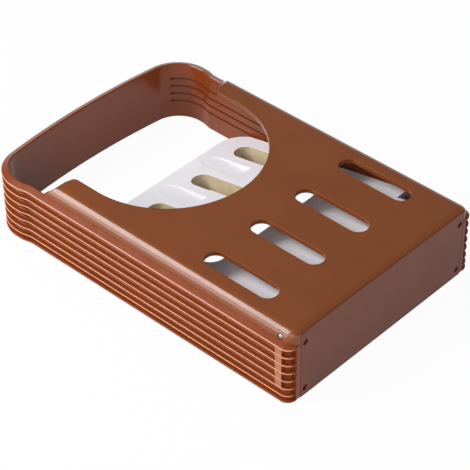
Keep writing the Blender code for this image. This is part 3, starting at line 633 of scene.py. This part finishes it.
carve(panel, "DIFFERENCE", recess)
lip_recess = bmesh.new()
box(lip_recess, (PANEL_END_X, FOOT_X + OVERRUN), (-PLATE_HALF - GAP, PLATE_HALF + GAP),
    (PANEL_UNDER - GAP, HEIGHT + OVERRUN))
carve(panel, "DIFFERENCE", lip_recess)
tip = (PANEL_START_X + TIP_RADIUS, CUTOUT_RADIUS + TIP_RADIUS)
far_tip = arc(tip, TIP_RADIUS, 270, 180, steps=10)
far_tip.append((PANEL_START_X - PANEL_START_SWEEP * 2, tip[1]))
cutout = arc((CUTOUT_CENTRE_X, 0), CUTOUT_RADIUS, -90, 90, steps=96) + far_tip
cutout += [(x, -y) for x, y in reversed(far_tip)]
openings = bmesh.new()
prism(openings, cutout, FLANGE_UNDER, HEIGHT + OVERRUN)
for y in slot_rows():
    prism(openings, obround(SLOT_START_X, SLOT_END_X, y, SLOT_WIDTH), FLANGE_UNDER, HEIGHT + OVERRUN)
carve(panel, "DIFFERENCE", openings)
round_edges(panel, lambda p: p.z > HEIGHT - MERGE and p.x < DEEP_FLANGE_X, PANEL_EDGE_ROUND, segments=4)
round_edges(panel, lambda p: abs(p.z - PANEL_UNDER) < MERGE and p.x < SLOT_END_X + GAP,
            PANEL_UNDER_ROUND, segments=2)
hinge = bmesh.new()
rod(hinge, "Y", (AXIS_X, AXIS_HEIGHT), -EAR_INNER + GAP, EAR_INNER - GAP, BARREL_RADIUS + GAP * 2)
carve(panel, "DIFFERENCE", hinge)
bores = bmesh.new()
rings = bmesh.new()
pilots = bmesh.new()
for side in (-1, 1):
    rod(bores, "Y", (AXIS_X, AXIS_HEIGHT), side * (EAR_INNER - OVERRUN), side * (PANEL_HALF + OVERRUN),
        PIN_RADIUS + PIN_CLEARANCE)
    rod(rings, "Y", (AXIS_X, AXIS_HEIGHT), side * (pin_face() - PIN_RING_DEPTH),
        side * (PANEL_HALF + OVERRUN), PIN_RADIUS + PIN_RING)
    rod(pilots, "X", (side * SCREW_ACROSS, SCREW_HEIGHTS[1]), FOOT_X - PILOT_DEPTH, FOOT_X,
        SCREW_RADIUS + GAP)
carve(panel, "DIFFERENCE", bores)
carve(panel, "DIFFERENCE", rings)
carve(panel, "DIFFERENCE", pilots)
split_faces(panel, FOOT_X - PANEL_CORNER - GAP, SLOT_END_X + GAP, SLOT_START_X - GAP)


def opening_painted_highlight(point):
    """How much painted highlight a face of the panel gets: all of it on the rounded upper edges of its
    openings.
    """
    rounding = HEIGHT - PANEL_EDGE_ROUND < point.z < HEIGHT - MERGE
    inside = abs(point.y) < PANEL_HALF - PANEL_EDGE_RADIUS and point.x < SLOT_END_X + GAP
    return EDGE_PAINTED_HIGHLIGHT if rounding and inside else 0


# Painted highlights along the rounded edges of the openings.
mark_painted_light(panel, opening_painted_highlight)
finish_piece(panel, brown_abs, "guide", "brown_plastic", "back_panel")


# Foot plate
# A flat plate of duller brown ABS that closes the end. The guide stands on it in use,
# and four small screws hold it, two in the frame's corners and two in the panel's bosses.
PLATE_TOP = PANEL_UNDER - GAP
PLATE_ROUND = 0.00025
SCREW_SINK = 0.0004
SCREW_HEAD_DEPTH = 0.0010

# Redder and duller than the panel, with broad soft reflections.
foot_abs = moulded_plastic("satin_moulded_brown_abs", "#72371F", "#B98468",
                           roughness=0.32, ior=1.40, grain_mm=0.6, painted_light=0.3)
foot_shape = bmesh.new()
box(foot_shape, (PLATE_INNER_X, FOOT_X + OVERRUN), (-PLATE_HALF, PLATE_HALF), (0, HEIGHT + OVERRUN))
foot = make_object("foot_plate_moulding", foot_shape)
followed = bmesh.new()
prism(followed, side_line, -WIDTH, WIDTH, "XZY")
carve(foot, "INTERSECT", followed)
rebate = bmesh.new()
box(rebate, (PLATE_INNER_X - OVERRUN, FOOT_X - PLATE_LIP), (-HALF, HALF), (PLATE_TOP, HEIGHT))
carve(foot, "DIFFERENCE", rebate)
holes = bmesh.new()
seats = bmesh.new()
for side in (-1, 1):
    for height in SCREW_HEIGHTS:
        place = (side * SCREW_ACROSS, height)
        seat_x = FOOT_X - SCREW_SINK - SCREW_HEAD_DEPTH - GAP
        rod(holes, "X", place, PLATE_INNER_X - OVERRUN, FOOT_X + OVERRUN, SCREW_RADIUS + GAP)
        rod(seats, "X", place, seat_x, FOOT_X + OVERRUN, SCREW_HEAD_RADIUS + GAP)
carve(foot, "DIFFERENCE", holes)
carve(foot, "DIFFERENCE", seats)
round_edges(foot, lambda p: p.x > FOOT_X - MERGE, PLATE_ROUND, segments=3)
finish_piece(foot, foot_abs, "guide", "foot_plastic", "foot_plate")


# Foot screws
# Four small cross-recess screws in blackened steel, turned and rolled, their heads sunk
# just below the foot plate's face.
SCREW_LENGTH = 0.0058
SCREW_TURNS = 6
SCREW_TIP_LENGTH = 0.0004
SCREW_THREAD_FROM_TIP = 0.0007
SCREW_NECK = 0.0003
SCREW_CORE = SCREW_RADIUS * 0.72
SCREW_HEAD_EDGE_DROP = 0.0003
SCREW_HEAD_DOME_DROP = 0.0001
SCREW_RECESS_WIDTH = 0.0004
SCREW_RECESS_DEPTH = 0.0004


def lathe(name, profile, place):
    """A turned piece: a profile (radius, along) spun round Z, then stood in its place."""
    shape = bmesh.new()
    line = [shape.verts.new((radius, 0, along)) for radius, along in profile]
    edges = [shape.edges.new(pair) for pair in zip(line, line[1:])]
    bmesh.ops.spin(shape, geom=line + edges, cent=(0, 0, 0), axis=(0, 0, 1), angle=2 * math.pi,
                   steps=32, use_merge=True)
    piece = make_object(name, shape)
    piece.data.transform(place)
    return piece


def metal(name, code, roughness, streak_mm):
    """Turned steel: a fine uneven grain from the tool, in brightness, gloss and bump.
    It gives the eye a sharp glint with a slightly broken edge."""
    material, tree, shader, place = new_material(name)
    rings = add(tree, "TexNoise", {"Vector": place, "Scale": 1000 / streak_mm, "Detail": 3,
                                   "Roughness": 0.6})
    tone = add(tree, "MapRange", {"Value": rings.outputs[0], "From Min": 0.3, "From Max": 0.7,
                                  "To Min": 0.88, "To Max": 1.08})
    colour = add(tree, "HueSaturation", {"Color": linear(code), "Value": tone.outputs[0]})
    tree.links.new(colour.outputs[0], shader.inputs["Base Color"])
    dull = add(tree, "MapRange", {"Value": rings.outputs[0], "From Min": 0.3, "From Max": 0.7,
                                  "To Min": roughness - 0.05, "To Max": roughness + 0.08})
    tree.links.new(dull.outputs[0], shader.inputs["Roughness"])
    bump = add(tree, "Bump", {"Height": rings.outputs[0], "Strength": 0.1, "Distance": 0.00002})
    tree.links.new(bump.outputs[0], shader.inputs["Normal"])
    shader.inputs["Metallic"].default_value = 1
    return material


# Small dark brown dots with a faint soft glint.
black_steel = metal("blackened_rolled_steel", "#6A4A40", roughness=0.46, streak_mm=0.3)
screw_profile = [(0, -SCREW_LENGTH), (SCREW_RADIUS * 0.4, -SCREW_LENGTH + SCREW_TIP_LENGTH)]
neck = -SCREW_HEAD_DEPTH - SCREW_NECK
thread_start = -SCREW_LENGTH + SCREW_THREAD_FROM_TIP
thread_pitch = (neck - thread_start) / SCREW_TURNS
for i in range(SCREW_TURNS):
    screw_profile.append((SCREW_CORE, thread_start + thread_pitch * i))
    screw_profile.append((SCREW_RADIUS, thread_start + thread_pitch * (i + 0.5)))
screw_profile += [(SCREW_CORE, neck), (SCREW_RADIUS * 0.8, -SCREW_HEAD_DEPTH),
                  (SCREW_HEAD_RADIUS, -SCREW_HEAD_DEPTH * 0.9), (SCREW_HEAD_RADIUS, -SCREW_HEAD_EDGE_DROP),
                  (SCREW_HEAD_RADIUS * 0.85, -SCREW_HEAD_DOME_DROP), (SCREW_HEAD_RADIUS * 0.5, 0), (0, 0)]
screw_number = 1
for height in SCREW_HEIGHTS:
    for side in (-1, 1):
        stand = Matrix.Translation((FOOT_X - SCREW_SINK, side * SCREW_ACROSS, height))
        stand = stand @ Matrix.Rotation(math.pi / 2, 4, "Y")
        screw = lathe("cross_recess_screw_%d" % screw_number, screw_profile, stand)
        reach = (-SCREW_RADIUS, SCREW_RADIUS)
        half = (-SCREW_RECESS_WIDTH / 2, SCREW_RECESS_WIDTH / 2)
        for x, y in ((reach, half), (half, reach)):
            bar = bmesh.new()
            box(bar, x, y, (-SCREW_RECESS_DEPTH, OVERRUN))
            carve(screw, "DIFFERENCE", bar, stand)
        finish_piece(screw, black_steel, "guide", "screw_steel", "foot_screw_%d" % screw_number)
        screw_number += 1


# Hinge pins
# Two bright steel pins, one at each side, pressed into the panel's ears. Their chamfered
# outer ends show as small bright discs in the panel's rounded sides.
PIN_SINK = 0.0001
PIN_IN_BOARD = 0.0080
PIN_CHAMFER = 0.00025
NOTCH_HALF = EAR_INNER - 0.0005

# A clear bright dot in the panel's brown side.
bright_steel = metal("bright_turned_steel", "#DDD9D5", roughness=0.2, streak_mm=0.4)
pin_length = pin_face() - PIN_SINK - (NOTCH_HALF - PIN_IN_BOARD)
pin_profile = [(0, 0), (PIN_RADIUS - PIN_CHAMFER, 0), (PIN_RADIUS, PIN_CHAMFER),
               (PIN_RADIUS, pin_length - PIN_CHAMFER), (PIN_RADIUS - PIN_CHAMFER, pin_length),
               (0, pin_length)]
for side, word in ((-1, "near"), (1, "far")):
    stand = Matrix.Translation((AXIS_X, side * (NOTCH_HALF - PIN_IN_BOARD), AXIS_HEIGHT))
    stand = stand @ Matrix.Rotation(-side * math.pi / 2, 4, "X")
    pin = lathe(word + "_turned_pin", pin_profile, stand)
    finish_piece(pin, bright_steel, "guide", "pin_steel", word + "_hinge_pin")


# Bread board
# A white polypropylene moulding that the loaf lies on: a thin skin with a rim under it,
# four slots with walls, hollows between them and a hand hole. It swings on the pins.
BOARD_LENGTH = 0.1520
BOARD_HALF = INNER_HALF - 0.0018
BOARD_TOP = 0.0012
BOARD_SKIN = 0.0026
BOARD_UNDER = BOARD_TOP - BOARD_SKIN
BOARD_WALL = 0.0020
BOARD_CORNER = 0.0145
NOTCH_LENGTH = 0.0295
SKIRT_START = 0.0395
SKIRT_UNDER = -0.0088
BOARD_SLOT_NEAR = 0.0930
BOARD_SLOT_FAR = 0.1385
COLLAR = 0.0015
SCOOP_NEAR = 0.1180
SCOOP_FAR = 0.1475
SCOOP_DEPTH = 0.0024
SCOOP_FLOOR = 0.0014
SCOOP_ROUND = 0.00025
HAND_HOLE_NEAR = 0.0690
HAND_HOLE_FAR = 0.0885
HAND_HOLE_HALF = 0.0400
HAND_HOLE_RADIUS = 0.0070
BOARD_ROUND = 0.0007
SKIRT_REACH = math.hypot(BOARD_LENGTH, SKIRT_UNDER)
REST_TILT = math.asin(AXIS_HEIGHT / SKIRT_REACH) - math.atan2(-SKIRT_UNDER, BOARD_LENGTH)


def board_outline(inset, near):
    """The board's plan, corners rounded, drawn in by an inset, hinge at X 0."""
    half = BOARD_HALF - inset
    far = -(BOARD_LENGTH - inset)
    radius = BOARD_CORNER - inset
    corners = [(-near, half, 0), (far, half, radius), (far, -half, radius), (-near, -half, 0)]
    return soften(corners, steps=16)


# A cool white satin skin. Its painted light share marks the slots' walls, which get a warm khaki of painted
# bounce light and shade.
white_pp = moulded_plastic("satin_moulded_white_polypropylene", "#EAE8ED", "#C6AE74",
                           roughness=0.34, ior=1.48, grain_mm=0.7, painted_light=0.85)
board_line = [(-NOTCH_LENGTH, NOTCH_HALF)] + board_outline(0, NOTCH_LENGTH)
board_line += [(-NOTCH_LENGTH, -NOTCH_HALF), (0, -NOTCH_HALF), (0, NOTCH_HALF)]
board_shape = bmesh.new()
prism(board_shape, board_line, BOARD_UNDER, BOARD_TOP)
board = make_object("slotted_bread_board", board_shape)
inside = BOARD_TOP - BOARD_SKIN / 2
skirt = bmesh.new()
prism(skirt, board_outline(0, SKIRT_START), SKIRT_UNDER, inside)
carve(board, "UNION", skirt)
hollow = bmesh.new()
prism(hollow, board_outline(BOARD_WALL, SKIRT_START + BOARD_WALL), SKIRT_UNDER - OVERRUN, BOARD_UNDER)
carve(board, "DIFFERENCE", hollow)
barrel = bmesh.new()
rod(barrel, "Y", (0, 0), -NOTCH_HALF, NOTCH_HALF, BARREL_RADIUS)
carve(board, "UNION", barrel)
collars = bmesh.new()
for y in slot_rows():
    prism(collars, obround(-BOARD_SLOT_FAR - COLLAR, -BOARD_SLOT_NEAR + COLLAR, y, SLOT_WIDTH + COLLAR * 2),
          SKIRT_UNDER, inside)
carve(board, "UNION", collars)
pads = bmesh.new()
scoop_rows = [(a + b) / 2 for a, b in zip(slot_rows(), slot_rows()[1:])]
for y in scoop_rows:
    box(pads, (-SCOOP_FAR, -SCOOP_NEAR + COLLAR), (y - SLOT_WIDTH / 2 - COLLAR, y + SLOT_WIDTH / 2 + COLLAR),
        (BOARD_TOP - SCOOP_DEPTH - SCOOP_FLOOR, inside))
carve(board, "UNION", pads)
gaps = bmesh.new()
for y in slot_rows():
    prism(gaps, obround(-BOARD_SLOT_FAR, -BOARD_SLOT_NEAR, y, SLOT_WIDTH),
          SKIRT_UNDER - OVERRUN, BOARD_TOP + OVERRUN)
carve(board, "DIFFERENCE", gaps)
hand_hole = bmesh.new()
hand_corners = [(-HAND_HOLE_NEAR, HAND_HOLE_HALF, HAND_HOLE_RADIUS),
                (-HAND_HOLE_FAR, HAND_HOLE_HALF, HAND_HOLE_RADIUS),
                (-HAND_HOLE_FAR, -HAND_HOLE_HALF, HAND_HOLE_RADIUS),
                (-HAND_HOLE_NEAR, -HAND_HOLE_HALF, HAND_HOLE_RADIUS)]
prism(hand_hole, soften(hand_corners, steps=8), SKIRT_UNDER, BOARD_TOP + OVERRUN)
carve(board, "DIFFERENCE", hand_hole)
round_edges(board, lambda p: p.z > BOARD_TOP - MERGE and p.x < -NOTCH_LENGTH, BOARD_ROUND, segments=4)


def slot_wall_painted_light(point):
    """1 on the walls of the board's slots, which get a painted warm khaki of bounced light and shade, and 0
    elsewhere.
    """
    along = min(max(point.x, -BOARD_SLOT_FAR + SLOT_WIDTH / 2), -BOARD_SLOT_NEAR - SLOT_WIDTH / 2)
    for y in slot_rows():
        away = math.hypot(point.x - along, point.y - y)
        if abs(away - SLOT_WIDTH / 2) < GAP and point.z < BOARD_TOP - BOARD_ROUND / 2:
            return 1
    return 0


slope = math.atan2(SCOOP_DEPTH, SCOOP_FAR - SCOOP_NEAR)
tilt = Matrix.Translation((-SCOOP_FAR, 0, BOARD_TOP)) @ Matrix.Rotation(slope, 4, "Y")
tilt = tilt @ Matrix.Translation((SCOOP_FAR, 0, 0))
scoops = bmesh.new()
for y in scoop_rows:
    nose = arc((0, 0), 1, 90, 270, steps=20)
    outline = [(-(SCOOP_FAR - SLOT_WIDTH) + a * SLOT_WIDTH, y + b * SLOT_WIDTH / 2) for a, b in nose]
    outline += [(-SCOOP_NEAR, y - SLOT_WIDTH / 2), (-SCOOP_NEAR, y + SLOT_WIDTH / 2)]
    prism(scoops, outline, 0, SCOOP_DEPTH * 3)
bmesh.ops.transform(scoops, matrix=tilt, verts=scoops.verts)
carve(board, "DIFFERENCE", scoops)
round_edges(board, lambda p: p.z > BOARD_TOP - MERGE and -SCOOP_FAR < p.x < GAP - SCOOP_NEAR
            and min(abs(p.y - y) for y in scoop_rows) < SLOT_WIDTH / 2 + MERGE, SCOOP_ROUND, segments=3)
# Painted warm bounce light and shade on the slots' walls.
mark_painted_light(board, slot_wall_painted_light)
board_bores = bmesh.new()
for side in (-1, 1):
    rod(board_bores, "Y", (0, 0), side * (NOTCH_HALF + OVERRUN), side * (NOTCH_HALF - PIN_IN_BOARD - GAP),
        PIN_RADIUS + PIN_CLEARANCE)
carve(board, "DIFFERENCE", board_bores)
board.data.transform(Matrix.Translation((AXIS_X, 0, AXIS_HEIGHT)) @ Matrix.Rotation(-REST_TILT, 4, "Y"))
finish_piece(board, white_pp, "board", "white_plastic", "bread_board")


# Floor and studio
# A pale floor that runs out to the horizon, and a pale room with a darker ceiling. The floor
# lets most of the white background through to the camera and keeps a soft shadow, and it
# glows in reflections. From below it is clear.
FLOOR_REACH = 30
FLOOR_SHADE = 0.78
WHITE_SHARE = 0.96
MIRRORED_SHARE = 0.5
AMBIENT = 0.25

room = bpy.data.worlds.new("pale_studio")
bpy.context.scene.world = room
room.use_nodes = True
tree = room.node_tree
background = tree.nodes["Background"]
direction = add(tree, "TexCoord").outputs["Generated"]
height = add(tree, "SeparateXYZ", {0: direction}).outputs["Z"]
shade = add(tree, "MapRange", {"Value": height, "From Min": 0.12, "From Max": 0.5,
                               "To Min": 1, "To Max": 0.3})
path = add(tree, "LightPath").outputs
seen = add(tree, "Math", {0: path["Is Glossy Ray"], 1: path["Is Transmission Ray"]}, operation="MAXIMUM")
level = add(tree, "Mix", {0: seen.outputs[0], 2: AMBIENT, 3: shade.outputs[0]})
shown = add(tree, "Mix", {0: path["Is Camera Ray"], 2: level.outputs[0], 3: 1.0})
tree.links.new(shown.outputs[0], background.inputs["Strength"])
background.inputs["Color"].default_value = (1, 1, 1, 1)

floor_shape = bmesh.new()
bmesh.ops.create_circle(floor_shape, cap_ends=True, segments=64, radius=FLOOR_REACH)
floor = make_object("studio_floor", floor_shape)
floor_paint = bpy.data.materials.new("white_painted_floor")
floor_paint.use_nodes = True
tree = floor_paint.node_tree
tree.nodes["Principled BSDF"].inputs["Base Color"].default_value = (FLOOR_SHADE, FLOOR_SHADE, FLOOR_SHADE, 1)
tree.nodes["Principled BSDF"].inputs["Roughness"].default_value = 0.9
glow = add(tree, "Emission", {"Color": (1, 1, 1, 1), "Strength": 1.0})
clear = add(tree, "BsdfTransparent")
path = add(tree, "LightPath").outputs
mirrored = add(tree, "Math", {0: path["Is Glossy Ray"], 1: path["Is Transmission Ray"]}, operation="MAXIMUM")
mirrored = add(tree, "Math", {0: mirrored.outputs[0], 1: MIRRORED_SHARE}, operation="MULTIPLY")
mixed = add(tree, "MixShader", {0: mirrored.outputs[0], 1: tree.nodes["Principled BSDF"].outputs[0],
                                2: glow.outputs[0]})
seen = add(tree, "Math", {0: path["Is Camera Ray"], 1: WHITE_SHARE}, operation="MULTIPLY")
behind = add(tree, "NewGeometry").outputs["Backfacing"]
see_through = add(tree, "Math", {0: seen.outputs[0], 1: behind}, operation="MAXIMUM")
shown_floor = add(tree, "MixShader", {0: see_through.outputs[0], 1: mixed.outputs[0], 2: clear.outputs[0]})
tree.links.new(shown_floor.outputs[0], tree.nodes["Material Output"].inputs["Surface"])
floor.data.materials.append(floor_paint)


# Lamps
# Four soft boxes. The key and the low one, both on the left, draw the two steps of the pale
# band along the panel's near edge. The side one lights the near arm's fins, and the foot
# one lights the foot plate.
LAMP_DISTANCE = 1.2


def soft_box(name, direction, along, width, length, power):
    """A rectangular lamp that faces the guide from a direction, its length laid along a line."""
    lamp_data = bpy.data.lights.new(name, "AREA")
    lamp_data.shape = "RECTANGLE"
    lamp_data.size = width
    lamp_data.size_y = length
    lamp_data.energy = power
    lamp = bpy.data.objects.new(name, lamp_data)
    bpy.context.scene.collection.objects.link(lamp)
    toward = Vector(direction).normalized()
    across = Vector(along).cross(toward).normalized()
    turn = Matrix((across, toward.cross(across), toward)).transposed().to_4x4()
    lamp.matrix_world = Matrix.Translation(CAMERA_TARGET + toward * LAMP_DISTANCE) @ turn


soft_box("key_soft_box", (-0.526, -0.520, 0.673), (0, 0.79, 0.61), width=0.45, length=0.71, power=11)
soft_box("low_soft_box", (-0.526, -0.810, 0.260), (0, 0.31, 0.95), width=0.45, length=0.50, power=3.1)
soft_box("side_soft_box", (0.05, -0.80, 0.60), (1, 0, 0), width=0.8, length=0.9, power=4.9)
soft_box("foot_soft_box", (0.85, -0.35, 0.40), (0, 0, 1), width=0.9, length=0.7, power=3.2)
